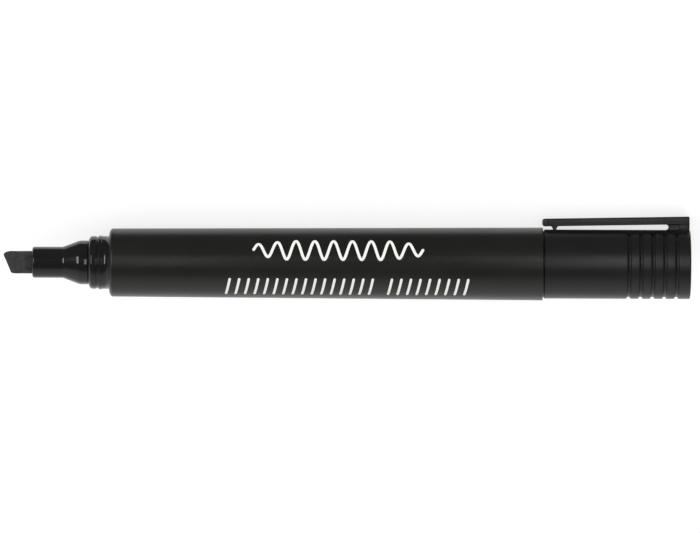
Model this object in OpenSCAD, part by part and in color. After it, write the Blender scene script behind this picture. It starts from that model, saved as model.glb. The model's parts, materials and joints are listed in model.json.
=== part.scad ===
// Chisel-tip marker pen with its cap pushed on the tail end.
// X runs along the pen: the nib points to -X and the closed end of the cap to +X.
// The origin is on the pen's axis, in the plane of the barrel's front shoulder.
// The pen lies as it does on a table: its rear rim and the clip's root touch the table.

/* [Barrel] */
// Length from the front shoulder to the rear rim
barrel_len = 96.4; // [92:0.1:104]
// Outer diameter behind the front shoulder
barrel_front_d = 15.15; // [14.6:0.05:15.4]
// Outer diameter at the rear rim
barrel_rear_d = 16.2; // [15.8:0.05:17]
// Length of the shoulder's rounding along the barrel
shoulder_len = 0.85; // [0.5:0.05:1]
// Diameter of the bore
barrel_bore_d = 12.8; // [12.6:0.1:13]
// Thickness of the lip that holds the nose section
lip_t = 1.6; // [1.2:0.1:2]

/* [Nose section] */
// Diameter of the collar that the cap seats on
collar_d = 11.8; // [11.5:0.05:11.85]
// Length of the collar in front of the shoulder
collar_len = 4.6; // [4.4:0.1:5]
// Length of the rounding at the collar's front edge
collar_edge_len = 0.93; // [0.5:0.01:1.1]
// Diameter of the step in front of the collar
step_d = 9.8; // [9.2:0.02:10]
// Front end of the step, measured from the shoulder
step_x = 6.6; // [6:0.1:7]
// Front end of the cone, measured from the shoulder
cone_x = 10.3; // [9:0.1:10.5]
// Diameter of the snout
snout_d = 6.94; // [6.6:0.02:7.2]
// Front end of the snout, measured from the shoulder
snout_x = 17.1; // [16:0.1:18]
// Depth of the part that plugs into the barrel
nose_plug_len = 9; // [8:0.1:12]

/* [Nib] */
// Diameter of the felt rod
nib_d = 5; // [4.6:0.01:5]
// Reach of the nib's tip in front of the shoulder
nib_reach = 24; // [22.5:0.05:24.2]
// Angle of the writing edge away from square
edge_angle = 23.5; // [15:0.5:30]
// Angle between the main bevel and the writing edge's face
bevel_angle = 49.6; // [40:0.1:60]
// Distance behind the axis at which the main bevel starts, at the tip
bevel_offset = 1.8; // [1:0.01:2]
// Turn of the writing edge about the pen, from the tip down
edge_turn = 10.5; // [0:0.5:15]
// Thickness of the writing edge
edge_t = 0.7; // [0.5:0.05:1]
// Reach of the nib's tail behind the shoulder
nib_tail = 13; // [11.5:0.5:16]

/* [Ink reservoir] */
// Diameter of the fibre core
core_d = 11.2; // [10.5:0.1:11.4]
// Front end of the core, measured from the shoulder
core_x = 9.4; // [9.2:0.1:11]
// Length of the core
core_len = 76; // [70:1:78]
// Thickness of the film round the core
film_t = 0.15; // [0.1:0.05:0.3]

/* [Tail plug] */
// Depth of the plug inside the barrel
tail_depth = 9; // [7:0.5:10]
// Length of the spigot that the posted cap grips
spigot_len = 10.3; // [9.5:0.1:11]
// Wall thickness of the plug
tail_wall = 1.3; // [1:0.1:1.6]
// Diameter of the flange between the barrel and the posted cap
flange_d = 14.8; // [14:0.1:15]

/* [Cap] */
// Outer diameter of the cap
cap_d = 15.36; // [15.2:0.02:15.6]
// Length of the cap
cap_len = 32.5; // [31.5:0.1:34]
// Gap between the barrel's rear rim and the mouth of the posted cap
cap_gap = 0.3; // [0.2:0.05:0.6]
// Radius of the edge at the closed end
cap_edge_r = 0.3; // [0.2:0.05:0.6]
// Thickness of the closed end
cap_end_t = 1.3; // [1.1:0.1:1.5]
// Number of ring grooves
groove_count = 5; // [3:1:5]
// Distance from one ring groove to the next
groove_pitch = 2.65; // [2.4:0.05:2.7]
// Distance of the last ring groove from the closed end
groove_inset = 3.1; // [2.8:0.05:3.6]
// Depth of a ring groove
groove_depth = 0.42; // [0.3:0.02:0.46]
// Radius of a ring groove's section
groove_r = 0.47; // [0.46:0.01:0.55]

/* [Cap liner] */
// Outer diameter of the sealing liner
liner_d = 13.2; // [13.1:0.02:13.3]
// Depth of the seat that grips the collar or the spigot
seat_depth = 12.2; // [11.5:0.1:13]
// Diameter of the chamber round the nib
chamber_d = 10.4; // [10.1:0.1:10.8]
// Thickness of the liner's closed end
liner_end_t = 1; // [0.8:0.1:1.4]

/* [Clip] */
// Width of the clip
clip_w = 4.5; // [4:0.1:5]
// Thickness of the clip
clip_t = 1.7; // [1.4:0.05:1.8]
// Height of the clip's outer face above the axis at the free end
clip_tip_z = 10.06; // [9.9:0.02:10.2]
// Rise of the outer face from the free end to the root
clip_rise = 0.58; // [0.3:0.02:0.7]
// Length of the clip's free end past the mouth of the cap
clip_over = 0.4; // [0:0.1:0.8]
// Distance of the slot's closed end from the closed end of the cap
slot_inset = 4.8; // [4.4:0.1:5.2]
// Width of the web that carries the clip
web_w = 3.5; // [3:0.1:4]
// Distance of the tooth from the clip's free end
tooth_inset = 2.75; // [2.4:0.05:3.5]

/* [Hidden] */
$fn = 96;
// Overlap that keeps two cuts from sharing a face
eps = 0.01;
// Overshoot of a cut past the face it opens
over = 1;
// Radial running clearance of the cap's sealing surfaces
fit_gap = 0.05;
// Radial clearance of pieces pushed into the barrel
plug_gap = 0.04;
// Steps in which a small rounded edge is turned
arc_steps = 6;

barrel_front_r = barrel_front_d / 2;
barrel_rear_r = barrel_rear_d / 2;
bore_r = barrel_bore_d / 2;
collar_r = collar_d / 2;
nib_r = nib_d / 2;
cap_r = cap_d / 2;
cap_mouth = barrel_len + cap_gap;
cap_end = cap_mouth + cap_len;
seat_r = collar_r + fit_gap;
shell_bore_r = liner_d / 2 + fit_gap;
liner_inset = 0.4;
liner_mouth = cap_mouth + liner_inset;
liner_end_gap = 0.1;
liner_end = cap_end - cap_end_t - liner_end_gap;

// Ribs inside the barrel
rib_count = 6;
rib_w = 0.7;
rib_inset = 3;
rib_root = 0.2;

// The nose section's neck inside the barrel's lip
neck_r = collar_r + 0.2;
shoulder_flat = 0.03;
shoulder_h = barrel_front_r - neck_r - plug_gap - shoulder_flat;

// The collar's snap bead and the groove in front of it
bead_x = 1.95;
bead_w = 0.6;
bead_h = 0.1;
collar_groove_x = 2.62;
collar_groove_w = 0.45;
collar_groove_depth = 0.2;
// The shallow valley between the collar and the step
valley_r = 0.25;
valley_floor = 0.1;
// Chamfer that leads the cap onto the spigot
lead_chamfer = 0.5;
// Room between the tail plug's flange and the cap's mouth
flange_gap = 0.05;

// Length of the taper at the nib's tail, which sits in the reservoir
nib_taper = 1.2;

// The nose section's inside: the air channels beside the nib lead into a cavity
cavity_x = 5;
cavity_r = 3.6;
vent_count = 4;
vent_w = 0.8;
vent_depth = 0.4;
vent_inset = 2;

// The clip's outer face leans by this angle, and its root is a round end in a socket
clip_tip_x = cap_mouth - clip_over;
clip_root_inset = 0.2;
clip_root_x = cap_end - clip_root_inset;
clip_tilt = atan(clip_rise / (clip_root_x - clip_tip_x));
slot_x = cap_end - slot_inset;
hinge_inset = 0.5;
hinge_x = slot_x + hinge_inset;
hinge_z = clip_tip_z + (hinge_x - clip_tip_x) * tan(clip_tilt) - clip_t / 2;
clip_len = (hinge_x - clip_tip_x) / cos(clip_tilt);
root_len = (clip_root_x - hinge_x) / cos(clip_tilt);
clip_edge_r = 0.3;
clip_corner_r = 1.2;
clip_nose_r = 0.6;
socket_gap = 0.02;
web_gap = 0.03;
root_start = 0.45;
tooth_top_w = 1.55;
tooth_tip_w = 0.4;
tooth_gap = 0.03;
tooth_side = 0.1;
// How far the tooth runs up into the clip, and down beside the cap
tooth_bury = 0.2;
tooth_drop = 0.6;

// Angle of the clip from straight down, with the barrel's rear rim and the clip's root on the table
root_z = clip_tip_z + clip_rise;
corner_z = root_z - clip_edge_r;
corner_y = clip_w / 2 - clip_edge_r;
corner_reach = norm([corner_z, corner_y]);
clip_lean = acos((barrel_rear_r - clip_edge_r) / corner_reach) + atan(corner_y / corner_z);

// Points of an arc about (cx, cy), from angle a to angle b, squashed along its second coordinate
function arc(cx, cy, r, a, b, squash = 1) = [
    for (i = [0 : arc_steps])
        let (t = a + (b - a) * i / arc_steps)
            [cx + r * cos(t), cy + squash * r * sin(t)]
];

// Rolls what is drawn with the clip upwards into the pose in which the pen lies
module lying() { rotate([clip_lean - 180, 0, 0]) children(); }

// Turns a profile of (radius, place along the pen) about the pen's axis
module turned() { rotate([0, 90, 0]) rotate_extrude() children(); }

// A round bar or bore along the pen
module rod(r, from, to) { translate([from, 0, 0]) rotate([0, 90, 0]) cylinder(r = r, h = to - from); }

// A bar across the pen, with a side view of (place along the pen, height)
module across(width) { rotate([90, 0, 0]) linear_extrude(height = width, center = true) children(); }

module barrel_tube() {
    rib_bottom = core_d / 2 + film_t + plug_gap;
    color([0.13, 0.13, 0.12]) {
        turned() polygon(concat(
            [[neck_r + plug_gap, 0]],
            arc(barrel_front_r - shoulder_h, shoulder_len, shoulder_h, -90, 0, shoulder_len / shoulder_h),
            [
                [barrel_rear_r, barrel_len],
                [bore_r, barrel_len],
                [bore_r, lip_t],
                [neck_r + plug_gap, lip_t],
            ]
        ));
        // ribs that hold the ink reservoir and let air past it
        for (i = [0 : rib_count - 1])
            rotate([i * 360 / rib_count, 0, 0])
                translate([core_x + rib_inset, -rib_w / 2, rib_bottom])
                    cube([core_len - 2 * rib_inset, rib_w, bore_r + rib_root - rib_bottom]);
    }
}

module nose_section() {
    plug_r = bore_r - plug_gap;
    step_r = step_d / 2;
    snout_r = snout_d / 2;
    snout_edge = 0.8;
    edge_h = collar_r - step_r + valley_r - valley_floor;
    flange_len = 2.5;
    skirt_gap = 0.25;
    skirt_r = plug_r - skirt_gap;
    color([0.06, 0.06, 0.06])
    difference() {
        turned() polygon(concat(
            [
                [0, nose_plug_len],
                [skirt_r, nose_plug_len],
                [skirt_r, lip_t + flange_len],
                [plug_r, lip_t + flange_len],
                [plug_r, lip_t],
                [neck_r, lip_t],
                [neck_r, 0],
                [collar_r, 0],
                [collar_r, -bead_x + bead_w / 2 + bead_h],
                [collar_r + bead_h, -bead_x + bead_w / 2],
                [collar_r + bead_h, -bead_x - bead_w / 2],
                [collar_r, -bead_x - bead_w / 2 - bead_h],
                [collar_r, -collar_groove_x + collar_groove_w / 2],
                [collar_r - collar_groove_depth, -collar_groove_x + collar_groove_w / 2],
                [collar_r - collar_groove_depth, -collar_groove_x - collar_groove_w / 2],
                [collar_r, -collar_groove_x - collar_groove_w / 2],
            ],
            arc(collar_r - edge_h, collar_edge_len - collar_len, edge_h, 0, -90, collar_edge_len / edge_h),
            arc(step_r - valley_r, -collar_len - valley_r, valley_r, 90, 0),
            [
                [step_r, -step_x],
                [snout_r, -cone_x],
            ],
            arc(snout_r - snout_edge, -snout_x + snout_edge, snout_edge, 0, -90),
            [[0, -snout_x]]
        ));
        rod(nib_r, -snout_x - over, 0);
        rod(cavity_r, -cavity_x, nose_plug_len + over);
        for (i = [0 : vent_count - 1])
            rotate([i * 360 / vent_count, 0, 0])
                translate([vent_inset - snout_x, -vent_w / 2, nib_r - vent_depth])
                    cube([snout_x - vent_inset, vent_w, 2 * vent_depth]);
    }
}

// Keeps what lies behind a flat cut whose face leans with the writing edge
module behind_edge() {
    translate([-nib_reach, 0, nib_r]) rotate([0, -edge_angle, 0]) children();
}

// Moves what starts on the writing edge, a given distance across it, into place
module at_bevel(across) {
    translate([0, bevel_offset, 0]) rotate([-edge_turn, 0, 0]) translate([0, across, 0]) children();
}

module nib() {
    big = 20;
    color([0.22, 0.22, 0.22])
    lying()
    difference() {
        union() {
            rod(nib_r, -nib_reach - over, nib_tail - nib_taper);
            translate([nib_tail - nib_taper, 0, 0]) rotate([0, 90, 0])
                cylinder(r1 = nib_r, r2 = nib_r / 2, h = nib_taper);
        }
        // the end face, across the rod along the writing edge
        behind_edge() translate([-big, -big / 2, -big / 2]) cube(big);
        // the main bevel, on the side that faces away from +Y
        behind_edge() at_bevel(0) rotate([0, 0, bevel_angle - 90])
            translate([-big, -big, -big / 2]) cube([2 * big, big, big]);
        // the short bevel on the other side
        behind_edge() at_bevel(edge_t) rotate([0, 0, 90 - bevel_angle])
            translate([-big, 0, -big / 2]) cube([2 * big, big, big]);
    }
}

module ink_reservoir() {
    color([0.1, 0.1, 0.13])
    difference() {
        rod(core_d / 2, core_x, core_x + core_len);
        rod(nib_r, core_x - over, nib_tail - nib_taper);
        translate([nib_tail - nib_taper - eps, 0, 0]) rotate([0, 90, 0])
            cylinder(r1 = nib_r, r2 = nib_r / 2, h = nib_taper + eps);
    }
}

module reservoir_wrap() {
    color([0.9, 0.9, 0.92, 0.6])
    difference() {
        rod(core_d / 2 + film_t, core_x, core_x + core_len);
        rod(core_d / 2, core_x - over, core_x + core_len + over);
    }
}

module tail_plug() {
    front = barrel_len - tail_depth;
    flange_rear = cap_mouth - flange_gap;
    rear = barrel_len + spigot_len;
    color([0.08, 0.08, 0.08])
    turned() polygon([
        [bore_r - plug_gap, front],
        [bore_r - plug_gap, barrel_len],
        [flange_d / 2, barrel_len],
        [flange_d / 2, flange_rear],
        [collar_r, flange_rear],
        [collar_r, rear - lead_chamfer],
        [collar_r - lead_chamfer, rear],
        [0, rear],
        [0, rear - tail_wall],
        [collar_r - tail_wall, rear - tail_wall],
        [collar_r - tail_wall, front],
    ]);
}

module cap_liner() {
    lead_in = 0.3;
    neck = 0.8;
    liner_r = liner_d / 2;
    chamber_r = chamber_d / 2;
    color([0.1, 0.1, 0.1])
    turned() polygon([
        [seat_r + lead_in, liner_mouth],
        [liner_r, liner_mouth],
        [liner_r, liner_end],
        [0, liner_end],
        [0, liner_end - liner_end_t],
        [chamber_r, liner_end - liner_end_t],
        [chamber_r, liner_mouth + seat_depth + neck],
        [seat_r, liner_mouth + seat_depth],
        [seat_r, liner_mouth + lead_in],
    ]);
}

// The ring grooves, which stop at a smooth strip under the clip
module ring_grooves() {
    difference() {
        turned() for (i = [0 : groove_count - 1])
            translate([cap_r - groove_depth + groove_r, cap_end - groove_inset - i * groove_pitch])
                circle(r = groove_r);
        translate([cap_mouth, -clip_w / 2, 0]) cube([cap_len, clip_w, 2 * cap_r]);
    }
}

// Outline of the clip's section, with its outer long edges rounded
module clip_section() {
    polygon(concat(
        [[-clip_w / 2, -clip_t / 2], [clip_w / 2, -clip_t / 2]],
        arc(clip_w / 2 - clip_edge_r, clip_t / 2 - clip_edge_r, clip_edge_r, 0, 90),
        arc(clip_edge_r - clip_w / 2, clip_t / 2 - clip_edge_r, clip_edge_r, 90, 180)
    ));
}

// A length of the clip, drawn along X from the hinge
module clip_strip(from, to) {
    translate([from, 0, 0]) rotate([90, 0, 90]) linear_extrude(height = to - from) clip_section();
}

// Places what is drawn from the hinge on the leaning clip
module at_hinge() { translate([hinge_x, 0, hinge_z]) rotate([0, -clip_tilt, 0]) children(); }

module cap_shell() {
    web_top = hinge_z - clip_t / 2 - web_gap;
    color([0.16, 0.16, 0.155])
    lying()
    difference() {
        union() {
            difference() {
                turned() polygon(concat(
                    [[0, cap_mouth], [cap_r, cap_mouth]],
                    arc(cap_r - cap_edge_r, cap_end - cap_edge_r, cap_edge_r, 0, 90),
                    [[0, cap_end]]
                ));
                ring_grooves();
            }
            // the web and the fixed end of the clip
            across(web_w) polygon([
                [slot_x, shell_bore_r],
                [clip_root_x, shell_bore_r],
                [clip_root_x, hinge_z],
                [hinge_x + root_start, hinge_z],
                [hinge_x + root_start, web_top],
                [slot_x, web_top],
            ]);
            at_hinge() clip_strip(root_start, root_len);
        }
        rod(shell_bore_r, cap_mouth - over, cap_end - cap_end_t);
        at_hinge() rotate([90, 0, 0])
            cylinder(r = clip_t / 2 + socket_gap, h = clip_w + 2 * over, center = true);
    }
}

module cap_clip() {
    tooth_x = clip_tip_x + tooth_inset;
    tooth_root_z = hinge_z - clip_t / 2 - (hinge_x - tooth_x) * tan(clip_tilt) + tooth_bury;
    color([0.17, 0.17, 0.165])
    lying() {
        at_hinge() {
            intersection() {
                clip_strip(-clip_len, 0);
                // side view, with the free end rounded on the outside
                across(clip_w + 2 * over) polygon(concat(
                    [[0, clip_t], [0, -clip_t], [-clip_len, -clip_t]],
                    arc(-clip_len + clip_nose_r, clip_t / 2 - clip_nose_r, clip_nose_r, 180, 90),
                    [[-clip_len + clip_nose_r, clip_t]]
                ));
                // plan view, with rounded corners at the free end
                linear_extrude(height = 3 * clip_t, center = true) polygon(concat(
                    [[0, -clip_w], [0, clip_w]],
                    arc(-clip_len + clip_corner_r, clip_w / 2 - clip_corner_r, clip_corner_r, 90, 180),
                    arc(-clip_len + clip_corner_r, clip_corner_r - clip_w / 2, clip_corner_r, 180, 270)
                ));
            }
            // the round end that sits in the shell's socket
            intersection() {
                clip_strip(-clip_t, clip_t);
                rotate([90, 0, 0]) cylinder(r = clip_t / 2, h = clip_w, center = true);
            }
        }
        // the tooth, hollowed to straddle the cap
        difference() {
            across(clip_w - 2 * tooth_side) polygon([
                [tooth_x - tooth_top_w / 2, tooth_root_z],
                [tooth_x + tooth_top_w / 2, tooth_root_z],
                [tooth_x + tooth_tip_w / 2, cap_r - tooth_drop],
                [tooth_x - tooth_tip_w / 2, cap_r - tooth_drop],
            ]);
            rod(cap_r + tooth_gap, cap_mouth - over, slot_x);
        }
    }
}

barrel_tube();
nose_section();
nib();
ink_reservoir();
reservoir_wrap();
tail_plug();
cap_liner();
cap_shell();
cap_clip();
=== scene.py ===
import json
import math

import bmesh
import bpy
import numpy as np
from mathutils import Matrix, Vector, noise


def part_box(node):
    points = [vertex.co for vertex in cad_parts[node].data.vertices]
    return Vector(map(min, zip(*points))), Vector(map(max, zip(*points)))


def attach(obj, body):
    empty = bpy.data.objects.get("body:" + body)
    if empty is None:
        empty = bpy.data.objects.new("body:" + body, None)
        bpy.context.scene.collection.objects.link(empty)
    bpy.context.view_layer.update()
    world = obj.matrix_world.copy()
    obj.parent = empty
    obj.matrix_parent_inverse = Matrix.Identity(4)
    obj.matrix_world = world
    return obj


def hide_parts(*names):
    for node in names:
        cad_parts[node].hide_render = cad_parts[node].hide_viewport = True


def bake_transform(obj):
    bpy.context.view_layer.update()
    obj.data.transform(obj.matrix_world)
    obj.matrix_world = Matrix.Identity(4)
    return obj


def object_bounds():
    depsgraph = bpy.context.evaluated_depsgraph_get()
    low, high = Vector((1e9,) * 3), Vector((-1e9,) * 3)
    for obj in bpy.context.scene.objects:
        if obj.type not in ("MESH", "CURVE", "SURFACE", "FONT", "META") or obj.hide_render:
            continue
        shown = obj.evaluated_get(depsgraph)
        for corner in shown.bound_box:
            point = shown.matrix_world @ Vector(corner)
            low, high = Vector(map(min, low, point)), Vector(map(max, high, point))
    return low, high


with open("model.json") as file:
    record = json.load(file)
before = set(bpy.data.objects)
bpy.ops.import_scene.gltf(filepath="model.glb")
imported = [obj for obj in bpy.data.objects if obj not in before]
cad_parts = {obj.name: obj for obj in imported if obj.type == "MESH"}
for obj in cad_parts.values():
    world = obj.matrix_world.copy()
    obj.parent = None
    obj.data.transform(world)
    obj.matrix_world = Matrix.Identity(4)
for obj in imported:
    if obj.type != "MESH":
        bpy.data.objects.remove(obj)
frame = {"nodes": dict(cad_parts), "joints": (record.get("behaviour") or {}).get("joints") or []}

cad_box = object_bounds()

# ---------------------------------------------------------------- frame
# Meshes are drawn in the pen's own frame, in millimetres: X along the pen, the clip on +Z.
MM = 0.001
joints = {j["name"]: j for j in frame["joints"]}
flex_axis = joints["clip_flex"]["axis"]
ROLL = math.atan2(flex_axis[2], flex_axis[1])
ROLL_COS, ROLL_SIN = math.cos(ROLL), math.sin(ROLL)


def to_row(points):
    """Points of the pen's frame, in mm, as points of the row frame, in metres."""
    p = np.asarray(points, float).reshape(-1, 3)
    y = p[:, 1] * ROLL_COS - p[:, 2] * ROLL_SIN
    z = p[:, 1] * ROLL_SIN + p[:, 2] * ROLL_COS
    return np.stack([p[:, 0], y, z], axis=1) * MM


def to_pen(point):
    """A point of the row frame, in metres, as a point of the pen's frame, in mm."""
    x, y, z = (c / MM for c in point)
    return x, y * ROLL_COS + z * ROLL_SIN, z * ROLL_COS - y * ROLL_SIN


def span(node):
    """Where a CAD node starts and ends along the pen, in mm."""
    low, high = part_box(node)
    return low.x / MM, high.x / MM


def reach(node):
    """The largest radius of a round CAD node, in mm."""
    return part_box(node)[1].y / MM


BARREL_FRONT, BARREL_REAR = span("barrel_tube")
BARREL_REAR_R = reach("barrel_tube")
BARREL_FRONT_R = 7.575
NOSE_FRONT, NOSE_BACK = span("nose_section")
NIB_BACK = span("nib")[1]
NIB_REACH, NIB_R = -24.0, 2.5
PLUG_FRONT, PLUG_REAR = span("tail_plug")
CAP_MOUTH, CAP_END = span("cap_shell")
CAP_R = 7.68
LINER_MOUTH, LINER_END = span("cap_liner")
COLLAR_R = 5.9
HINGE_X, _, HINGE_Z = to_pen(joints["clip_flex"]["pos_m"])
CLIP_TIP = span("cap_clip")[0]

SEGMENTS = 160
# how far support points stand from a fillet, and the largest share of a side that a fillet takes
HOLD, FILLET_SHARE = 0.06, 0.45


# ---------------------------------------------------------------- mesh tools
def filleted(path, steps=5):
    """A path of (x, r, fillet radius) corners as (x, r) points, with support points beside each fillet."""
    n = len(path)
    closed = path[0][1] > 0 or path[-1][1] > 0
    out = []
    for i, (x, r, f) in enumerate(path):
        p = np.array([x, r])
        if f <= 0 or (not closed and i in (0, n - 1)):
            out.append((x, r))
            continue
        a = np.array(path[i - 1][:2]) - p
        b = np.array(path[(i + 1) % n][:2]) - p
        la, lb = np.linalg.norm(a), np.linalg.norm(b)
        a, b = a / la, b / lb
        half = math.acos(max(-1, min(1, float(a @ b)))) / 2
        t = f / math.tan(half)
        limit = FILLET_SHARE * min(la, lb)
        if t > limit:
            f *= limit / t
            t = limit
        centre = p + (a + b) / np.linalg.norm(a + b) * f / math.sin(half)
        start, end = p + a * t - centre, p + b * t - centre
        if t + HOLD < 0.5 * la:
            out.append(tuple(p + a * (t + HOLD)))
        angle = math.acos(max(-1, min(1, float(start @ end) / f**2)))
        for k in range(steps + 1):
            u = k / steps
            q = (math.sin((1 - u) * angle) * start + math.sin(u * angle) * end) / math.sin(angle)
            out.append(tuple(centre + q))
        if t + HOLD < 0.5 * lb:
            out.append(tuple(p + b * (t + HOLD)))
    return out


def oval(x, r, dx, dr, start, end, steps=10):
    """Sharp path points of an elliptical edge about (x, r), from angle start to angle end in degrees."""
    angles = np.radians(np.linspace(start, end, steps + 1))
    return [(x + dx * math.cos(t), r + dr * math.sin(t), 0.0) for t in angles]


def lathe(path, segments=SEGMENTS, radius=None):
    """Turns a path of (x, r) points about the pen's axis, with angle 0 on +Z.

    radius(x, r, angles) may reshape a ring.
    """
    angles = np.arange(segments) * 2 * math.pi / segments
    verts, rings, faces = [], [], []
    for x, r in path:
        first = len(verts)
        if r < 1e-6:
            verts.append((x, 0, 0))
            rings.append([first])
            continue
        rr = np.full(segments, r) if radius is None else radius(x, r, angles)
        verts += list(zip(np.full(segments, x), rr * np.sin(angles), rr * np.cos(angles)))
        rings.append(list(range(first, first + segments)))
    closed = all(len(r) > 1 for r in rings)
    for a, b in zip(rings, rings[1:] + ([rings[0]] if closed else [])):
        for i in range(segments):
            j = (i + 1) % segments
            if len(a) == 1:
                faces.append((a[0], b[i], b[j]))
            elif len(b) == 1:
                faces.append((a[i], a[j], b[0]))
            else:
                faces.append((a[i], a[j], b[j], b[i]))
    return verts, faces


def loft(rings, close_ends=True):
    """Joins rings of the same number of points, and closes the first and the last with a face."""
    count = len(rings[0])
    verts = [tuple(p) for ring in rings for p in ring]
    faces = []
    for k in range(len(rings) - 1):
        for i in range(count):
            j = (i + 1) % count
            a, b = k * count, (k + 1) * count
            faces.append((a + i, a + j, b + j, b + i))
    if close_ends:
        faces.append(tuple(range(count)))
        faces.append(tuple(range(len(verts) - count, len(verts))))
    return verts, faces


def joined(*parts):
    """Several (verts, faces) as one."""
    verts, faces = [], []
    for v, f in parts:
        base = len(verts)
        verts += v
        faces += [tuple(base + i for i in face) for face in f]
    return verts, faces


def piece(name, geometry, material):
    """A smooth mesh object from (verts, faces) of the pen's frame."""
    verts, faces = geometry
    mesh = bpy.data.meshes.new(name)
    mesh.from_pydata([tuple(v) for v in to_row(verts)], [], faces)
    bm = bmesh.new()
    bm.from_mesh(mesh)
    bmesh.ops.recalc_face_normals(bm, faces=bm.faces)
    bm.to_mesh(mesh)
    bm.free()
    mesh.polygons.foreach_set("use_smooth", [True] * len(mesh.polygons))
    mesh.materials.append(material)
    obj = bpy.data.objects.new(name, mesh)
    bpy.context.scene.collection.objects.link(obj)
    return obj


# ---------------------------------------------------------------- materials
class Nodes:
    """Short calls for building a material's node tree. Textures read the object's coordinates in mm."""

    def __init__(self, name):
        self.material = bpy.data.materials.new(name)
        self.material.use_nodes = True
        self.tree = self.material.node_tree
        self.shader = self.tree.nodes["Principled BSDF"]
        coord = self.tree.nodes.new("ShaderNodeTexCoord")
        self.coords = self.vector("MULTIPLY", coord.outputs["Object"], (1 / MM, 1 / MM, 1 / MM))

    def link(self, value, socket):
        if isinstance(value, bpy.types.NodeSocket):
            self.tree.links.new(value, socket)
        else:
            socket.default_value = value

    def vector(self, operation, a, b):
        node = self.tree.nodes.new("ShaderNodeVectorMath")
        node.operation = operation
        self.link(a, node.inputs[0])
        self.link(b, node.inputs[1])
        return node.outputs["Vector"]

    def math(self, operation, a, b=0.0, clamp=False):
        node = self.tree.nodes.new("ShaderNodeMath")
        node.operation = operation
        node.use_clamp = clamp
        self.link(a, node.inputs[0])
        self.link(b, node.inputs[1])
        return node.outputs["Value"]

    def noise(self, scale, stretch=(1, 1, 1), detail=3.0, rough=0.55):
        """Noise with features of about 1/scale mm, stretched along each axis by its factor."""
        node = self.tree.nodes.new("ShaderNodeTexNoise")
        self.link(self.vector("DIVIDE", self.coords, stretch), node.inputs["Vector"])
        node.inputs["Scale"].default_value = scale
        node.inputs["Detail"].default_value = detail
        node.inputs["Roughness"].default_value = rough
        return node.outputs["Fac"]

    def remap(self, value, low, high, to_low=0.0, to_high=1.0):
        node = self.tree.nodes.new("ShaderNodeMapRange")
        node.interpolation_type = "SMOOTHSTEP"
        self.link(value, node.inputs["Value"])
        for key, v in (("From Min", low), ("From Max", high), ("To Min", to_low), ("To Max", to_high)):
            node.inputs[key].default_value = v
        return node.outputs["Result"]

    def mix(self, factor, a, b):
        node = self.tree.nodes.new("ShaderNodeMix")
        node.data_type = "RGBA"
        self.link(factor, node.inputs["Factor"])
        for socket, colour in zip([s for s in node.inputs if s.type == "RGBA"], (a, b)):
            self.link((*colour, 1) if isinstance(colour, tuple) else colour, socket)
        return [s for s in node.outputs if s.type == "RGBA"][0]

    def bump(self, height, depth_mm, after=None):
        node = self.tree.nodes.new("ShaderNodeBump")
        node.inputs["Distance"].default_value = depth_mm * MM
        self.link(height, node.inputs["Height"])
        if after is not None:
            self.link(after, node.inputs["Normal"])
        return node.outputs["Normal"]

    def edges(self, low, high):
        """1 on the mesh's outer edges, 0 elsewhere."""
        geometry = self.tree.nodes.new("ShaderNodeNewGeometry")
        return self.remap(geometry.outputs["Pointiness"], low, high)

    def set(self, **sockets):
        for name, value in sockets.items():
            self.link(value, self.shader.inputs[name.replace("_", " ")])


def plastic(name, level, roughness, specular, grain=0.0012, wear=1.0, flow=0.004, tint=(1, 1, 0.98)):
    """Moulded plastic: spark grain, slow flow marks, fine scratches, worn edges and specks of dust."""
    n = Nodes(name)

    def tone(share):
        return tuple(level * share * c for c in tint)

    fine = n.noise(14, detail=4)
    cloudy = n.noise(0.16, (2.2, 1, 1), detail=4)
    blotch = n.noise(0.9, detail=3)
    along = n.noise(5, (26, 1, 1), detail=3)
    across = n.noise(4, (1, 9, 9), detail=2)
    scratches = n.math("ADD", n.remap(along, 0.66, 0.72), n.remap(across, 0.7, 0.76), clamp=True)
    patches = n.remap(n.noise(0.35, detail=2), 0.46, 0.6)
    scratches = n.math("MULTIPLY", scratches, patches)
    worn = n.math("MULTIPLY", n.edges(0.52, 0.6), n.remap(blotch, 0.3, 0.7, 0.25, 1.0))
    specks = n.remap(n.noise(3.2, detail=1, rough=0.3), 0.79, 0.81)
    base = n.mix(cloudy, tone(0.85), tone(1.15))
    base = n.mix(n.math("MULTIPLY", worn, 0.3 * wear), base, tone(3))
    base = n.mix(n.math("MULTIPLY", scratches, 0.2 * wear), base, tone(2.6))
    base = n.mix(n.math("MULTIPLY", specks, 0.3 * wear), base, (0.1, 0.1, 0.095))
    rough = n.math("ADD", n.remap(cloudy, 0.25, 0.75, roughness - 0.03, roughness + 0.04),
                   n.remap(fine, 0.3, 0.7, -0.025, 0.03))
    rough = n.math("ADD", rough, n.math("MULTIPLY", scratches, 0.07 * wear))
    normal = n.bump(n.noise(0.12, (1.6, 1, 1), detail=2), flow)
    normal = n.bump(fine, grain, normal)
    normal = n.bump(scratches, -0.0006 * wear, normal)
    n.set(Base_Color=base, Roughness=rough, Normal=normal, Specular_IOR_Level=specular)
    return n.material


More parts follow.
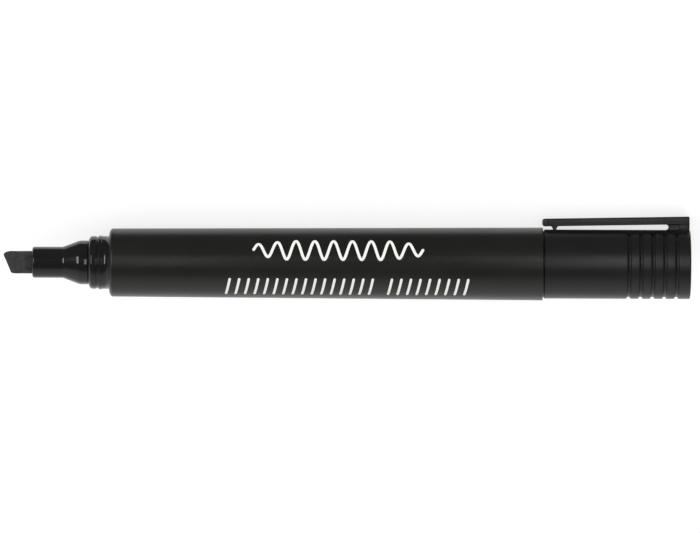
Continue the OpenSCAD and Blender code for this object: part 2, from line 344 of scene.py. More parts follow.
def felt(name):
    """Bonded fibres along the rod, unevenly soaked with black ink."""
    n = Nodes(name)
    fibres = n.noise(16, (9, 1, 1), detail=4, rough=0.65)
    fuzz = n.noise(9, detail=4, rough=0.7)
    pores = n.remap(n.noise(5.5, (2.5, 1, 1), detail=3), 0.36, 0.5)
    soak = n.noise(0.7, detail=3)
    specks = n.remap(n.noise(4.2, detail=2, rough=0.7), 0.55, 0.62, 0, 0.85)
    base = n.mix(n.remap(fibres, 0.32, 0.7), (0.015, 0.015, 0.016), (0.055, 0.055, 0.053))
    base = n.mix(n.remap(fuzz, 0.5, 0.75, 0, 0.7), base, (0.1, 0.099, 0.096))
    base = n.mix(n.remap(soak, 0.4, 0.7, 0, 0.45), base, (0.015, 0.015, 0.017))
    base = n.mix(specks, base, (0.008, 0.008, 0.009))
    rough = n.remap(soak, 0.3, 0.7, 0.78, 0.95)
    normal = n.bump(fibres, 0.03)
    normal = n.bump(fuzz, 0.03, normal)
    normal = n.bump(pores, 0.02, normal)
    n.set(Base_Color=base, Roughness=rough, Normal=normal, Specular_IOR_Level=0.25,
          Sheen_Weight=0.08, Sheen_Roughness=0.5)
    return n.material


def ink(name):
    """White screen-printed ink: a little grainy, with the odd pinhole and a thin edge."""
    n = Nodes(name)
    mottle = n.noise(2.2, detail=4)
    pinholes = n.remap(n.noise(9, detail=2), 0.74, 0.78)
    base = n.mix(n.remap(mottle, 0.3, 0.7), (0.93, 0.92, 0.88), (0.84, 0.83, 0.79))
    base = n.mix(n.math("MULTIPLY", pinholes, 0.7), base, (0.25, 0.25, 0.25))
    rough = n.remap(mottle, 0.3, 0.7, 0.42, 0.58)
    normal = n.bump(n.noise(11, detail=3), 0.003)
    n.set(Base_Color=base, Roughness=rough, Normal=normal, Specular_IOR_Level=0.4)
    return n.material


def fibre_core(name):
    """A bundle of parallel fibres, dark with ink."""
    n = Nodes(name)
    strands = n.noise(7, (30, 1, 1), detail=4)
    soak = n.noise(0.25, detail=3)
    base = n.mix(n.remap(strands, 0.3, 0.7), (0.008, 0.008, 0.012), (0.03, 0.03, 0.038))
    base = n.mix(n.remap(soak, 0.55, 0.75, 0, 0.5), base, (0.05, 0.048, 0.06))
    n.set(Base_Color=base, Roughness=n.remap(strands, 0.3, 0.7, 0.75, 0.95), Normal=n.bump(strands, 0.04))
    return n.material


def film(name):
    """Thin clear film with faint wrinkles along its length."""
    n = Nodes(name)
    wrinkles = n.noise(1.4, (6, 1, 1), detail=3)
    base = n.mix(wrinkles, (0.62, 0.64, 0.68), (0.78, 0.8, 0.83))
    n.set(Base_Color=base, Roughness=n.remap(wrinkles, 0.3, 0.7, 0.12, 0.3), Normal=n.bump(wrinkles, 0.02))
    n.shader.inputs["Alpha"].default_value = 0.4
    return n.material


barrel_plastic = plastic("barrel_plastic", 0.0098, 0.35, 0.5, tint=(1, 1.04, 0.86))
nose_plastic = plastic("nose_plastic", 0.0088, 0.09, 0.5, grain=0.0003, wear=0.6, flow=0.003)
plug_plastic = plastic("plug_plastic", 0.0065, 0.3, 0.35, grain=0.0003, wear=0.5)
liner_plastic = plastic("liner_plastic", 0.008, 0.3, 0.45, grain=0.0006, wear=0.4)
cap_plastic = plastic("cap_plastic", 0.0092, 0.36, 0.45, grain=0.0015)
clip_plastic = plastic("clip_plastic", 0.0088, 0.38, 0.5, grain=0.0014, tint=(1, 1, 0.94))
nib_felt = felt("nib_felt")
white_ink = ink("white_ink")


# ---------------------------------------------------------------- barrel
LIP_T, LIP_R, BORE_R = 1.6, 6.14, 6.4
SHOULDER_LEN, SHOULDER_FLAT = 0.85, 0.03
SHOULDER_H = BARREL_FRONT_R - LIP_R - SHOULDER_FLAT
SHOULDER_END = BARREL_FRONT + SHOULDER_LEN
TAPER_X = SHOULDER_END + 0.3


def barrel_r(x):
    """The barrel's radius at x on its straight taper."""
    growth = (BARREL_REAR_R - BARREL_FRONT_R) * (x - BARREL_FRONT) / (BARREL_REAR - BARREL_FRONT)
    return BARREL_FRONT_R + growth


barrel = piece("barrel", lathe(filleted([
    (BARREL_FRONT, LIP_R, 0.0),
    *oval(SHOULDER_END, BARREL_FRONT_R - SHOULDER_H, SHOULDER_LEN, SHOULDER_H, 180, 90, 14),
    (TAPER_X, barrel_r(TAPER_X), 0.0),
    (BARREL_REAR, BARREL_REAR_R, 0.14),
    (BARREL_REAR, BORE_R, 0.12),
    (LIP_T, BORE_R, 0.05),
    (LIP_T, LIP_R, 0.05),
], steps=8)), barrel_plastic)
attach(barrel, "barrel")
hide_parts("barrel_tube")


# ---------------------------------------------------------------- print
INK_RISE, INK_SINK = 0.018, 0.02
# a stroke's height at its sides, in shares of the full height, and where that starts, in half widths
INK_SIDE, INK_SHOULDER = 0.7, 0.8
WAVE_STROKE, DASH_STROKE = 0.62, 0.56
# how far past a stroke's end, and how wide, in shares of its half width
ROUND_END = ((1, 0.05), (0.92, 0.39), (0.72, 0.69), (0.4, 0.917))


def on_barrel(x, arc, rise):
    """A point over the barrel: arc is the way round from the -Y side towards +Z, in mm."""
    r = barrel_r(x)
    angle = arc / r
    return x, -(r + rise) * math.cos(angle), (r + rise) * math.sin(angle)


def ribbon(points, width):
    """A printed stroke along (x, arc) points, with rounded ends."""
    pts = np.array(points, float)
    tangent = np.gradient(pts, axis=0)
    tangent /= np.linalg.norm(tangent, axis=1)[:, None]
    normal = np.stack([-tangent[:, 1], tangent[:, 0]], axis=1)
    stations = [(pts[0] - tangent[0] * u * width / 2, normal[0], v * width / 2) for u, v in ROUND_END]
    stations += [(p, m, width / 2) for p, m in zip(pts, normal)]
    stations += [(pts[-1] + tangent[-1] * u * width / 2, normal[-1], v * width / 2)
                 for u, v in reversed(ROUND_END)]
    # how far across the stroke, in half widths, and how high
    section = ((1, -INK_SINK), (1, INK_RISE * INK_SIDE), (INK_SHOULDER, INK_RISE), (0, INK_RISE),
               (-INK_SHOULDER, INK_RISE), (-1, INK_RISE * INK_SIDE), (-1, -INK_SINK))
    return loft([[on_barrel(*(p + m * h * share), rise) for share, rise in section] for p, m, h in stations])


def wave():
    """A plain squiggle, as a marker's stroke would draw it."""
    start, end, low, high, turns = 32.2, 69.7, 0.8, 5.25, 9
    # the share of its swing that the wave starts with, and how fast it gains the rest
    first, gain = 0.55, 2.2
    u = np.linspace(0, 1, 260)
    x = start + (end - start) * u
    middle, swing = (low + high) / 2, (high - low) / 2
    grow = np.minimum(1, first + gain * np.minimum(u, 1 - u))
    arc = middle + swing * grow * np.sin(2 * math.pi * turns * u)
    return ribbon(np.stack([x, arc], axis=1), WAVE_STROKE)


def dashes():
    """A row of plain slanted dashes in two groups."""
    start, end, low, high, lean = 25.3, 80.3, -8.25, -3.75, 0.85
    count, gap_at, inset = 26, 16, 0.35
    pitch = (end - start) / count
    u = np.linspace(0, 1, 12)
    strokes = []
    for i in range(count):
        if i != gap_at:
            x = start + pitch * (i + inset)
            strokes.append(ribbon(np.stack([x + lean * u, low + (high - low) * u], axis=1), DASH_STROKE))
    return joined(*strokes)


for name, geometry in (("print_wave", wave()), ("print_dashes", dashes())):
    mark = piece(name, geometry, white_ink)
    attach(mark, "barrel")

# ---------------------------------------------------------------- nose section
SNOUT_R, STEP_R, CONE_X, STEP_X, COLLAR_X = 3.47, 4.9, -10.3, -6.6, -4.6
SNOUT_EDGE, CONE_FILLET, STEP_FILLET = 0.8, 1.6, 3.2
COLLAR_EDGE, EDGE_H, VALLEY_R = 0.93, 1.15, 0.25
# the ring groove and the snap bead on the collar
RING_FROM, RING_TO, RING_SLOPE, RING_DEPTH = -2.88, -2.37, 0.09, 0.17
BEAD_FROM, BEAD_TO, BEAD_SLOPE, BEAD_H = -2.25, -1.65, 0.15, 0.09
NECK_R, SKIRT_R, PLUG_R, FLANGE_X = 6.1, 6.11, 6.36, 4.1
CAVITY_R, CAVITY_X = 3.6, -5.0
FELT_GAP, STEP_GAP = 0.035, 0.02
NIB_BORE_R = NIB_R + FELT_GAP

nose = piece("nose", lathe(filleted([
    (NOSE_FRONT, NIB_BORE_R, 0.08),
    (NOSE_FRONT, SNOUT_R, SNOUT_EDGE),
    (CONE_X, SNOUT_R, CONE_FILLET),
    (STEP_X, STEP_R, STEP_FILLET),
    *oval(COLLAR_X - VALLEY_R, STEP_R - VALLEY_R, VALLEY_R, VALLEY_R, 90, 0, 5),
    *oval(COLLAR_X + COLLAR_EDGE, COLLAR_R - EDGE_H, COLLAR_EDGE, EDGE_H, 180, 90, 12),
    (RING_FROM, COLLAR_R, 0.08),
    (RING_FROM + RING_SLOPE, COLLAR_R - RING_DEPTH, 0.08),
    (RING_TO - RING_SLOPE, COLLAR_R - RING_DEPTH, 0.08),
    (RING_TO, COLLAR_R, 0.04),
    (BEAD_FROM, COLLAR_R + BEAD_H, 0.1),
    (BEAD_TO, COLLAR_R + BEAD_H, 0.1),
    (BEAD_TO + BEAD_SLOPE, COLLAR_R, 0.1),
    (STEP_GAP, COLLAR_R, 0.0),
    (STEP_GAP, NECK_R, 0.0),
    (LIP_T + STEP_GAP / 2, NECK_R, 0.0),
    (LIP_T + STEP_GAP, PLUG_R, 0.1),
    (FLANGE_X, PLUG_R, 0.1),
    (FLANGE_X, SKIRT_R, 0.1),
    (NOSE_BACK, SKIRT_R, 0.15),
    (NOSE_BACK, CAVITY_R, 0.15),
    (CAVITY_X, CAVITY_R, 0.15),
    (CAVITY_X, NIB_BORE_R, 0.1),
])), nose_plastic)
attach(nose, "barrel")
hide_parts("nose_section")

# ---------------------------------------------------------------- nib
EDGE_ANGLE = math.radians(23.5)
BEVEL_RISE = math.tan(math.radians(49.6))
EDGE_TURN = math.radians(10.5)
BEVEL_OFFSET, EDGE_T = 1.8, 0.7
# radius round the end face, and how crisply the bevels meet
NIB_RIM, CRISPNESS = 0.09, 11
NIB_TAPER, NIB_TAIL_SHARE = 1.2, 0.5
# how far the felt's uneven skin goes into the snout
SKIN_REACH = 1.2
# how far the felt's lumps may stand proud of the rod, and how much rougher its cut face is
PROUD, CUT_ROUGHNESS = 0.02, 1.3


def soft_max(values, sharpness):
    """The largest of several arrays, with the change from one to the next rounded off."""
    values = np.array(values) * sharpness
    top = values.max(axis=0)
    return (top + np.log(np.exp(values - top).sum(axis=0))) / sharpness


def nib_face(y, z):
    """How far along the pen the nib's end face stands at (y, z)."""
    # down the writing edge from the tip, and across it to each side
    down = (z - NIB_R) / math.cos(EDGE_ANGLE)
    across = (y - BEVEL_OFFSET) * math.cos(EDGE_TURN) - down * math.sin(EDGE_TURN)
    skew = BEVEL_RISE * math.tan(EDGE_ANGLE) * math.sin(EDGE_TURN)
    main = -across * BEVEL_RISE / (1 + skew)
    short = (across - EDGE_T) * BEVEL_RISE / (1 - skew)
    depth = soft_max([np.zeros_like(y), main, short], CRISPNESS)
    x = NIB_REACH + (depth - math.sin(EDGE_ANGLE) * (z - NIB_R)) / math.cos(EDGE_ANGLE)
    inset = np.clip(NIB_RIM - (NIB_R - np.hypot(y, z)), 0, NIB_RIM)
    return x + NIB_RIM - np.sqrt(NIB_RIM**2 - inset**2)


def felt_lump(p):
    """Height of the felt's uneven skin at p: long fibres, then smaller and smaller lumps."""
    fibre = noise.noise(Vector((p[0] * 0.45, p[1] * 2.6, p[2] * 2.6))) * 0.022
    return fibre + noise.noise(Vector(p) * 5.5) * 0.016 + noise.noise(Vector(p) * 13) * 0.009


def nib_geometry():
    """The rod from the middle of its cut face to its tail, with rings that close up towards the rim."""
    segments, discs, sides, rim_rings = 192, 40, 60, 4
    angles = np.arange(segments) * 2 * math.pi / segments
    ys, zs = np.sin(angles), np.cos(angles)
    rings = []
    for k in range(1, discs + 1):
        r = NIB_R * (1 - (1 - k / discs) ** 1.5)
        y, z = ys * r, zs * r
        rings.append(np.stack([nib_face(y, z), y, z], axis=1))
    rim = rings[-1]
    skin_end = NOSE_FRONT + SKIN_REACH
    for k in range(1, sides + 1):
        x = rim[:, 0] + (skin_end - rim[:, 0]) * k / sides
        rings.append(np.stack([x, rim[:, 1], rim[:, 2]], axis=1))
    # the tail narrows to a blunt point in the reservoir
    tail = ((0, 1), (NIB_BACK - NIB_TAPER, 1),
            (NIB_BACK - 0.05, NIB_TAIL_SHARE + 0.05), (NIB_BACK, NIB_TAIL_SHARE))
    for x, share in tail:
        rings.append(np.stack([np.full(segments, x), ys * NIB_R * share, zs * NIB_R * share], axis=1))
    # the felt's uneven skin fades out inside the snout
    shown = discs + sides
    for k in range(shown):
        ring = rings[k]
        fade = min(1, (shown - k) / 8)
        for i, p in enumerate(ring):
            lump = felt_lump(p)
            if k >= discs - rim_rings:
                radial = Vector((0, p[1], p[2])).normalized()
                ring[i] = p + np.array(radial) * min(lump, PROUD) * fade
            else:
                ring[i] = p - np.array((lump * CUT_ROUGHNESS, 0, 0))
    centre = tuple(rings[0].mean(axis=0))
    verts, faces = loft(rings, close_ends=False)
    last = len(verts) - segments
    faces.append(tuple(range(last, last + segments)))
    verts.append(centre)
    faces += [(len(verts) - 1, i, (i + 1) % segments) for i in range(segments)]
    return verts, faces


nib = piece("nib_tip", nib_geometry(), nib_felt)
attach(nib, "barrel")
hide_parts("nib")

# ---------------------------------------------------------------- tail plug
FLANGE_R, FLANGE_T, FLANGE_GAP, PLUG_WALL, TAIL_CHAMFER = 7.4, 0.25, 0.01, 1.3, 0.5

plug = piece("plug", lathe(filleted([
    (PLUG_REAR - PLUG_WALL, 0, 0),
    (PLUG_REAR - PLUG_WALL, COLLAR_R - PLUG_WALL, 0.3),
    (PLUG_FRONT, COLLAR_R - PLUG_WALL, 0.1),
    (PLUG_FRONT, PLUG_R, 0.15),
    (BARREL_REAR + FLANGE_GAP / 2, PLUG_R, 0.0),
    (BARREL_REAR + FLANGE_GAP, FLANGE_R, 0.04),
    (BARREL_REAR + FLANGE_T, FLANGE_R, 0.06),
    (BARREL_REAR + FLANGE_T, COLLAR_R, 0.05),
    (PLUG_REAR - TAIL_CHAMFER, COLLAR_R, 0.2),
    (PLUG_REAR, COLLAR_R - TAIL_CHAMFER, 0.2),
    (PLUG_REAR, 0, 0),
])), plug_plastic)
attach(plug, "barrel")
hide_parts("tail_plug")

# ---------------------------------------------------------------- cap
GROOVE_FIRST, GROOVE_PITCH, GROOVE_COUNT = 3.1, 2.65, 5
GROOVE_DEPTH, GROOVE_R, GROOVE_SLOPE, GROOVE_SOFT, GROOVE_SPAN = 0.42, 0.47, 3, 0.035, 1.2
# half the width of the plain strip under the clip, and how softly the grooves end at it
STRIP_HALF, STRIP_SOFT = 2.3, 0.3
SHELL_BORE_R, SHELL_END_T, CAP_SEGMENTS = 6.65, 1.3, 288
GROOVES = [CAP_END - GROOVE_FIRST - i * GROOVE_PITCH for i in range(GROOVE_COUNT)]
# distances from a groove's middle at which the cap has rings
GROOVE_RINGS = (0.06, 0.16, 0.26, 0.34, 0.4, 0.44, 0.47, 0.5, 0.54, 0.62, 0.8, 1.1)


def groove(dx):
    """Depth of a ring groove at dx from its middle, with softened edges."""
    dx = np.abs(dx)
    lip = GROOVE_R - GROOVE_DEPTH
    inner = np.sqrt(np.clip(GROOVE_R**2 - dx**2, 0, None)) - lip
    depth = np.where(dx < GROOVE_R, inner, -lip - (dx - GROOVE_R) * GROOVE_SLOPE)
    return 0.5 * (depth + np.sqrt(depth**2 + GROOVE_SOFT**2))


def cap_radius(x, r, angles):
    """Cuts the ring grooves into the shell's outside, and leaves the strip under the clip plain."""
    if r < (SHELL_BORE_R + CAP_R) / 2:
        return np.full(len(angles), r)
    depth = sum(groove(x - g) for g in GROOVES if abs(x - g) < GROOVE_SPAN)
    y, z = np.abs(r * np.sin(angles)), np.cos(angles)
    mask = np.clip((y - STRIP_HALF) / STRIP_SOFT, 0, 1)
    mask = np.where(z > 0, mask * mask * (3 - 2 * mask), 1)
    return r - depth * mask


def cap_path():
    """The shell's section, from the middle of its inside end, round the mouth, to its outside end."""
    inner = filleted([
        (CAP_MOUTH, CAP_R, 0.0),
        (CAP_MOUTH, SHELL_BORE_R, 0.12),
        (CAP_END - SHELL_END_T, SHELL_BORE_R, 0.3),
        (CAP_END - SHELL_END_T, 0.0, 0.0),
    ])
    outer = filleted([
        (CAP_MOUTH, SHELL_BORE_R, 0.12),
        (CAP_MOUTH, CAP_R, 0.12),
        (CAP_END, CAP_R, 0.32),
        (CAP_END, 0.0, 0.0),
    ], steps=7)
    # the bore's edge at the mouth is on the inner path already
    middle = (CAP_MOUTH + CAP_END) / 2
    mouth = [p for p in outer if p[0] < middle and p[1] > SHELL_BORE_R + 0.3]
    end = [p for p in outer if p[0] > middle]
    grooved = sorted(g + side * d for g in GROOVES for side in (-1, 1) for d in GROOVE_RINGS)
    return inner[:0:-1] + mouth + [(x, CAP_R) for x in grooved] + end


cap = piece("cap", lathe(cap_path(), CAP_SEGMENTS, cap_radius), cap_plastic)
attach(cap, "cap")
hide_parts("cap_shell")

# ---------------------------------------------------------------- liner
SEAT_R, CHAMBER_R, LINER_R, SEAT_END, NECK = 5.95, 5.2, 6.6, 12.2, 0.8
LINER_END_T, MOUTH_FLARE = 1.0, 0.3

liner_path = filleted([
    (LINER_END - LINER_END_T, 0.0, 0.0),
    (LINER_END - LINER_END_T, CHAMBER_R, 0.6),
    (LINER_MOUTH + SEAT_END + NECK, CHAMBER_R, 0.2),
    (LINER_MOUTH + SEAT_END, SEAT_R, 0.2),
    (LINER_MOUTH + MOUTH_FLARE, SEAT_R, 0.1),
    (LINER_MOUTH, SEAT_R + MOUTH_FLARE, 0.08),
    (LINER_MOUTH, LINER_R, 0.15),
    (LINER_END, LINER_R, 0.3),
    (LINER_END, 0.0, 0.0),
])
liner = piece("liner_cup", lathe(liner_path), liner_plastic)
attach(liner, "liner")
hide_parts("cap_liner")

# ---------------------------------------------------------------- clip
CLIP_W, CLIP_T, CLIP_RISE = 4.5, 1.7, 0.58
ROOT_X = CAP_END - 0.2
CLIP_TILT = math.atan2(CLIP_RISE, ROOT_X - CLIP_TIP)
CLIP_LEN = (HINGE_X - CLIP_TIP) / math.cos(CLIP_TILT)
ROOT_LEN = (ROOT_X - HINGE_X) / math.cos(CLIP_TILT)
# radii of the free end's corners, of its top and underside, and of the root's end
CORNER_R, NOSE_R, UNDER_NOSE_R, END_R = 1.2, 0.5, 0.6, 0.16
NOSE_LEN, END_LEN = 1.4, 0.3
# radii along the strip's edges: top, underside, and underside at the free end
EDGE_R, UNDER_R, TIP_UNDER_R = 0.3, 0.1, 0.4
CROWN, PARTING_HALF, PARTING_H = 0.03, 0.07, 0.018
SLOT_X = CAP_END - 4.8
WEB_HALF, WEB_END_HALF, WEB_CORNER, WEB_SINK = 1.75, 2.22, 0.45, 0.3
FLARE_FROM, FLARE_TO = ROOT_X - 2.7, ROOT_X - 1.8
# lengths over which the web's round front and its flat end take over
FRONT_LEN, END_FADE = 0.9, 0.5
FOOT_R, END_FOOT_R, HEAD_R = 0.3, 1.0, 0.14
TOOTH_X, TOOTH_TOP, TOOTH_TIP, TOOTH_NECK = CLIP_TIP + 2.75, 1.55, 0.42, 0.12
TOOTH_R, TOOTH_INSET, TOOTH_SINK, TOOTH_GAP = 0.18, 0.14, 0.25, 0.02


def strip_ring(half, top, bottom, r_top, r_bottom, x):
    """A section of the strip at x from the hinge, with a crowned top and a parting line on its sides."""
    room = min(half * 0.9, (top - bottom) * 0.45)
    r_top, r_bottom = min(r_top, room), min(r_bottom, room)
    middle = (top + bottom) / 2
    pts = []

    def arc(cy, cz, r, a, b, steps=5):
        for k in range(steps + 1):
            t = math.radians(a + (b - a) * k / steps)
            pts.append((cy + r * math.cos(t), cz + r * math.sin(t)))

    arc(half - r_top, top - r_top, r_top, 0, 90)
    pts.extend([(half * 0.5, top + CROWN * 0.75), (0, top + CROWN), (-half * 0.5, top + CROWN * 0.75)])
    arc(-half + r_top, top - r_top, r_top, 90, 180)
    pts.extend([(-half, middle + PARTING_HALF), (-half - PARTING_H, middle), (-half, middle - PARTING_HALF)])
    arc(-half + r_bottom, bottom + r_bottom, r_bottom, 180, 270)
    pts.extend([(-half * 0.5, bottom), (0, bottom), (half * 0.5, bottom)])
    arc(half - r_bottom, bottom + r_bottom, r_bottom, 270, 360)
    pts.extend([(half, middle - PARTING_HALF), (half + PARTING_H, middle), (half, middle + PARTING_HALF)])
    cos, sin = math.cos(CLIP_TILT), math.sin(CLIP_TILT)
    return [(HINGE_X + x * cos - z * sin, y, HINGE_Z + x * sin + z * cos) for y, z in pts]


def rounding(e, r):
    """How far an edge of radius r has dropped at e from where it ends."""
    return r - math.sqrt(max(0, r * r - (r - e) ** 2)) if e < r else 0.0


def strip():
    """The clip's long strip, from its rounded free end to its root."""
    rings = []
    for e in (0, 0.015, 0.05, 0.1, 0.17, 0.26, 0.36, 0.48, 0.6, 0.75, 0.9, 1.05, 1.2, NOSE_LEN):
        under_r = TIP_UNDER_R + (UNDER_R - TIP_UNDER_R) * min(1, e / NOSE_LEN)
        rings.append(strip_ring(
            CLIP_W / 2 - rounding(e, CORNER_R), CLIP_T / 2 - rounding(e, NOSE_R),
            -CLIP_T / 2 + rounding(e, UNDER_NOSE_R), EDGE_R, under_r, e - CLIP_LEN))
    count = 30
    for k in range(1, count):
        x = -CLIP_LEN + NOSE_LEN + (CLIP_LEN + ROOT_LEN - NOSE_LEN - END_LEN) * k / count
        rings.append(strip_ring(CLIP_W / 2, CLIP_T / 2, -CLIP_T / 2, EDGE_R, UNDER_R, x))
    for e in (END_LEN, 0.2, 0.12, 0.06, 0.02, 0.0):
        drop = rounding(e, END_R)
        rings.append(strip_ring(
            CLIP_W / 2 - drop, CLIP_T / 2 - drop, -CLIP_T / 2, EDGE_R, UNDER_R, ROOT_LEN - e))
    return loft(rings)


def under_clip(x):
    """Height of the clip's underside at x."""
    return HINGE_Z + (x - HINGE_X) * math.tan(CLIP_TILT) - CLIP_T / 2


def web_outline():
    """The web seen from above the clip: round front corners, then a flare to nearly the clip's width."""
    side = [(SLOT_X, 0.0), (SLOT_X, WEB_HALF - WEB_CORNER)]
    side += [(SLOT_X + WEB_CORNER - WEB_CORNER * math.cos(a),
              WEB_HALF - WEB_CORNER + WEB_CORNER * math.sin(a)) for a in np.radians([18, 36, 54, 72, 90])]
    side += [(x, WEB_HALF) for x in np.linspace(SLOT_X + FRONT_LEN, FLARE_FROM, 6)]
    side += [(FLARE_FROM + (FLARE_TO - FLARE_FROM) * u,
              WEB_HALF + (WEB_END_HALF - WEB_HALF) * (1 - math.cos(math.pi * u)) / 2)
             for u in np.linspace(0.15, 1, 7)]
    side.append((ROOT_X - END_R, WEB_END_HALF))
    side += [(ROOT_X - END_R + END_R * math.sin(a), WEB_END_HALF - END_R + END_R * math.cos(a))
             for a in np.radians([30, 60, 90])]
    side.append((ROOT_X, 0.0))
    return np.array(side + [(x, -y) for x, y in side[-2:0:-1]])


def web():
    """The clip's block: a fillet joins it to the cap, and its front is the slot's round end."""
    outline = web_outline()
    tangent = np.roll(outline, -1, axis=0) - np.roll(outline, 1, axis=0)
    tangent /= np.linalg.norm(tangent, axis=1)[:, None]
    outward = np.stack([-tangent[:, 1], tangent[:, 0]], axis=1)
    slot_top = under_clip(SLOT_X)
    slot_r, slot_mid = (slot_top - CAP_R) / 2, (slot_top + CAP_R) / 2
    # shares of the height between the cap and the clip, closer together at the fillets
    levels = [-WEB_SINK, 0.0, 0.02, 0.06, 0.12, 0.2, 0.3, 0.42, 0.55, 0.68, 0.8, 0.9, 0.96, 1.0, 1.12]
    rings = []
    for level in levels:
        ring = []
        for (x, y), (nx, ny) in zip(outline, outward):
            front = max(0.0, 1 - (x - SLOT_X) / FRONT_LEN)
            end = min(1.0, max(0.0, (ROOT_X - x) / END_FADE))
            flare = min(1.0, max(0.0, (x - FLARE_FROM) / (FLARE_TO - FLARE_FROM)))
            foot_r = FOOT_R + (END_FOOT_R - FOOT_R) * flare
            ceiling = under_clip(x)
            above = (ceiling - math.sqrt(CAP_R**2 - y * y)) * max(0.0, level)
            ground = math.sqrt(CAP_R**2 - (abs(y) + rounding(above, foot_r)) ** 2)
            z = ground + level if level < 0 else ground + (ceiling - ground) * level
            at = max(-0.9999, min(0.9999, (z - slot_mid) / slot_r))
            bow = slot_r - slot_r * math.sqrt(1 - at * at)
            spread = rounding(above, foot_r) + rounding(max(0.0, ceiling - z), HEAD_R)
            ring.append((x + nx * spread * end * (1 - front) - bow * front, y + ny * spread * end, z))
        rings.append(ring)
    return loft(rings)


def rounded_box(half_x, half_y, r):
    """The outline of a box with round corners, about its middle, with three points along each side."""
    corners = ((1, 1), (-1, 1), (-1, -1), (1, -1))
    pts = []
    for n, (sx, sy) in enumerate(corners):
        for a in np.radians(np.linspace(0, 90, 5) + 90 * n):
            pts.append((sx * (half_x - r) + r * math.cos(a), sy * (half_y - r) + r * math.sin(a)))
        nx, ny = corners[(n + 1) % 4]
        out = math.radians(90 * (n + 1))
        for u in (0.25, 0.5, 0.75):
            pts.append(((sx + (nx - sx) * u) * (half_x - r) + r * math.cos(out),
                        (sy + (ny - sy) * u) * (half_y - r) + r * math.sin(out)))
    return pts


def tooth():
    """The tooth under the free end, which narrows down to the cap and straddles it."""
    top_z = under_clip(TOOTH_X) + TOOTH_SINK
    rings = []
    for level in np.linspace(0, 1, 12):
        narrowed = min(1, max(0, (level - TOOTH_NECK) / (1 - TOOTH_NECK))) ** 0.85
        width = TOOTH_TOP + (TOOTH_TIP - TOOTH_TOP) * narrowed
        ring = []
        for x, y in rounded_box(width / 2, CLIP_W / 2 - TOOTH_INSET, min(TOOTH_R, width * 0.4)):
            bottom_z = math.sqrt((CAP_R + TOOTH_GAP)**2 - y * y)
            ring.append((TOOTH_X + x, y, top_z + (bottom_z - top_z) * level))
        rings.append(ring)
    return loft(rings)


clip = piece("clip", joined(strip(), web(), tooth()), clip_plastic)
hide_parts("cap_clip")
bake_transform(clip)

# ---------------------------------------------------------------- inner CAD nodes
for node, material in (("ink_reservoir", fibre_core("core_fibre")), ("reservoir_wrap", film("clear_film"))):
    obj = frame["nodes"][node]
    for s in obj.material_slots:
        s.material = material

# ---------------------------------------------------------------- stage, light and camera
UP = Vector(to_row([(0, 0, 1)])[0]).normalized()
BACK = Vector(to_row([(0, -1, 0)])[0]).normalized()
ALONG = Vector((1, 0, 0))


def floor():
    """A wide, plain, nearly white floor just under the pen."""
    half, gap = 6.0, 0.00001
    z = cad_box[0].z - gap
    mesh = bpy.data.meshes.new("floor")
    corners = [(-half, -half, z), (half, -half, z), (half, half, z), (-half, half, z)]
    mesh.from_pydata(corners, [], [(0, 1, 2, 3)])
    n = Nodes("floor_white")
    tone = n.noise(0.004, detail=2)
    n.set(Base_Color=n.mix(tone, (0.37, 0.37, 0.37), (0.4, 0.4, 0.4)), Roughness=0.9, Specular_IOR_Level=0.1,
          Emission_Color=(1, 1, 1, 1), Emission_Strength=0.72)
    mesh.materials.append(n.material)
    obj = bpy.data.objects.new("floor", mesh)
    bpy.context.scene.collection.objects.link(obj)


def placed(point, right, up, back):
    """The matrix that stands an object at point, with its X, Y and Z along right, up and back."""
    return Matrix.Translation(point) @ Matrix((right, up, back)).transposed().to_4x4()


def soft_light(name, aim, direction, distance, size, power):
    """An area light of size (along the pen, across it), in metres, facing aim from direction."""
    data = bpy.data.lights.new(name, "AREA")
    data.shape = "RECTANGLE"
    data.size, data.size_y = size
    data.energy = power
    obj = bpy.data.objects.new(name, data)
    bpy.context.scene.collection.objects.link(obj)
    back = Vector(direction).normalized()
    side = (ALONG - back * ALONG.dot(back)).normalized()
    up = back.cross(side)
    obj.matrix_world = placed(Vector(aim) + back * distance, side, up, back)
    obj.visible_camera = False


def around(degrees):
    """A direction across the pen: 0 is towards the camera, and positive turns towards the clip."""
    a = math.radians(degrees)
    return BACK * math.cos(a) + UP * math.sin(a)


def card(name, stations, glow):
    """A sheet that only reflections see: rows of points, and the light that each strip of it sends."""
    count = len(stations[0])
    verts = [tuple(p) for row in stations for p in row]
    faces, strips = [], []
    for i in range(len(stations) - 1):
        for k in range(count - 1):
            faces.append((i * count + k, i * count + k + 1, (i + 1) * count + k + 1, (i + 1) * count + k))
            strips.append(i)
    mesh = bpy.data.meshes.new(name)
    mesh.from_pydata(verts, [], faces)
    levels = sorted(set(glow))
    for level in levels:
        material = bpy.data.materials.new(f"{name}_{round(level * 100)}")
        material.use_nodes = True
        shader = material.node_tree.nodes["Principled BSDF"]
        shader.inputs["Base Color"].default_value = (0.01, 0.01, 0.01, 1)
        shader.inputs["Roughness"].default_value = 1.0
        shader.inputs["Specular IOR Level"].default_value = 0.0
        shader.inputs["Emission Color"].default_value = (1, 1, 1, 1)
        shader.inputs["Emission Strength"].default_value = level
        mesh.materials.append(material)
    for polygon, i in zip(mesh.polygons, strips):
        polygon.material_index = levels.index(glow[i])
    obj = bpy.data.objects.new(name, mesh)
    bpy.context.scene.collection.objects.link(obj)
    for kind in ("camera", "diffuse", "transmission", "volume_scatter", "shadow"):
        setattr(obj, "visible_" + kind, False)


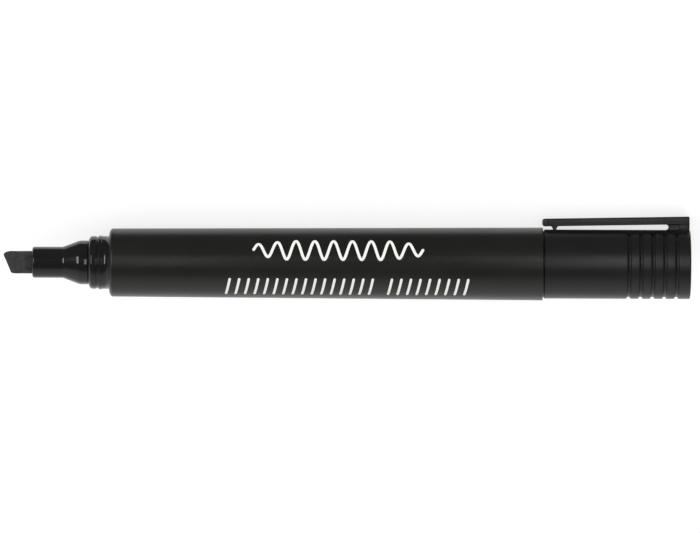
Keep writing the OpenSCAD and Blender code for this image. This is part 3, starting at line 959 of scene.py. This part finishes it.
# angles round the pen, and the light that the card sends from there
CARD_STRIPS = [
    (-84, -72, 0.72), (-72, -60, 0.62), (-60, -51, 0.5), (-51, -46, 0.3), (-46, -36, 0.11), (-36, 60, 0.06),
]
CARD_RADIUS, CARD_STEP, CARD_LIFT = 0.5, 3, 0.0004
# the card's inner edge on the floor follows the pen's outline: (along the pen, away from it), in metres
CARD_INNER = [
    (-3.0, 0.0074), (-0.0105, 0.0074), (-0.0064, 0.0088), (-0.0005, 0.0094), (0.0, 0.0116), (3.0, 0.0116),
]


def dark_card():
    """A card seen only in reflections, round the pen on the camera's side and over the floor there, with a
    fading edge: it paints the pen's reflections, pale on the side away from the clip and dark towards the
    camera and over the white floor.
    """
    low = cad_box[0].z + CARD_LIFT
    stations, glow = [], []
    for start, end, level in CARD_STRIPS:
        steps = max(1, round((end - start) / CARD_STEP))
        for k in range(steps):
            p = around(start + (end - start) * k / steps) * CARD_RADIUS
            if p.z > low:
                stations.append([(x, p.y, p.z) for x, _ in CARD_INNER])
                glow.append(level)
    far = stations[-1][0][1]
    for y in (far, 0.2, 0.06):
        stations.append([(x, y, low) for x, _ in CARD_INNER])
        glow.append(CARD_STRIPS[-1][2])
    stations.append([(x, y, low) for x, y in CARD_INNER])
    card("dark_card", stations, glow)


floor()
# painted reflections: a sheet only glossy rays see, dark over the white floor
dark_card()
world = bpy.data.worlds.new("studio")
world.use_nodes = True
background = world.node_tree.nodes["Background"]
background.inputs["Color"].default_value = (1, 1, 1, 1)
background.inputs["Strength"].default_value = 0.8
bpy.context.scene.world = world

# how far the front light stands round towards the nib, in radians
FRONT_TURN = 0.6
from_front_left = around(14) * math.cos(FRONT_TURN) - ALONG * math.sin(FRONT_TURN)
soft_light("cap_glow", (0.121, 0, 0), around(8), distance=0.13, size=(0.028, 0.075), power=0.019)
soft_light("front_left", (-0.008, 0, 0), from_front_left, distance=0.4, size=(0.1, 0.24), power=0.42)
soft_light("barrel_glow", (0.0045, 0, 0), around(3), distance=0.13, size=(0.008, 0.06), power=0.006)

CAMERA_DISTANCE, LENS, SENSOR = 1.7, 392.9, 36.0
AIM_ALONG, AIM_UP = 0.05355, -0.00071
TILT = math.radians(0.2)
right = ALONG * math.cos(TILT) + UP * math.sin(TILT)
up = UP * math.cos(TILT) - ALONG * math.sin(TILT)
aim = ALONG * AIM_ALONG + UP * AIM_UP
camera_data = bpy.data.cameras.new("camera")
camera_data.lens, camera_data.sensor_width = LENS, SENSOR
camera = bpy.data.objects.new("camera", camera_data)
bpy.context.scene.collection.objects.link(camera)
camera.matrix_world = placed(aim + BACK * CAMERA_DISTANCE, right, up, BACK)
bpy.context.scene.camera = camera

bpy.context.scene.view_settings.view_transform = "Standard"
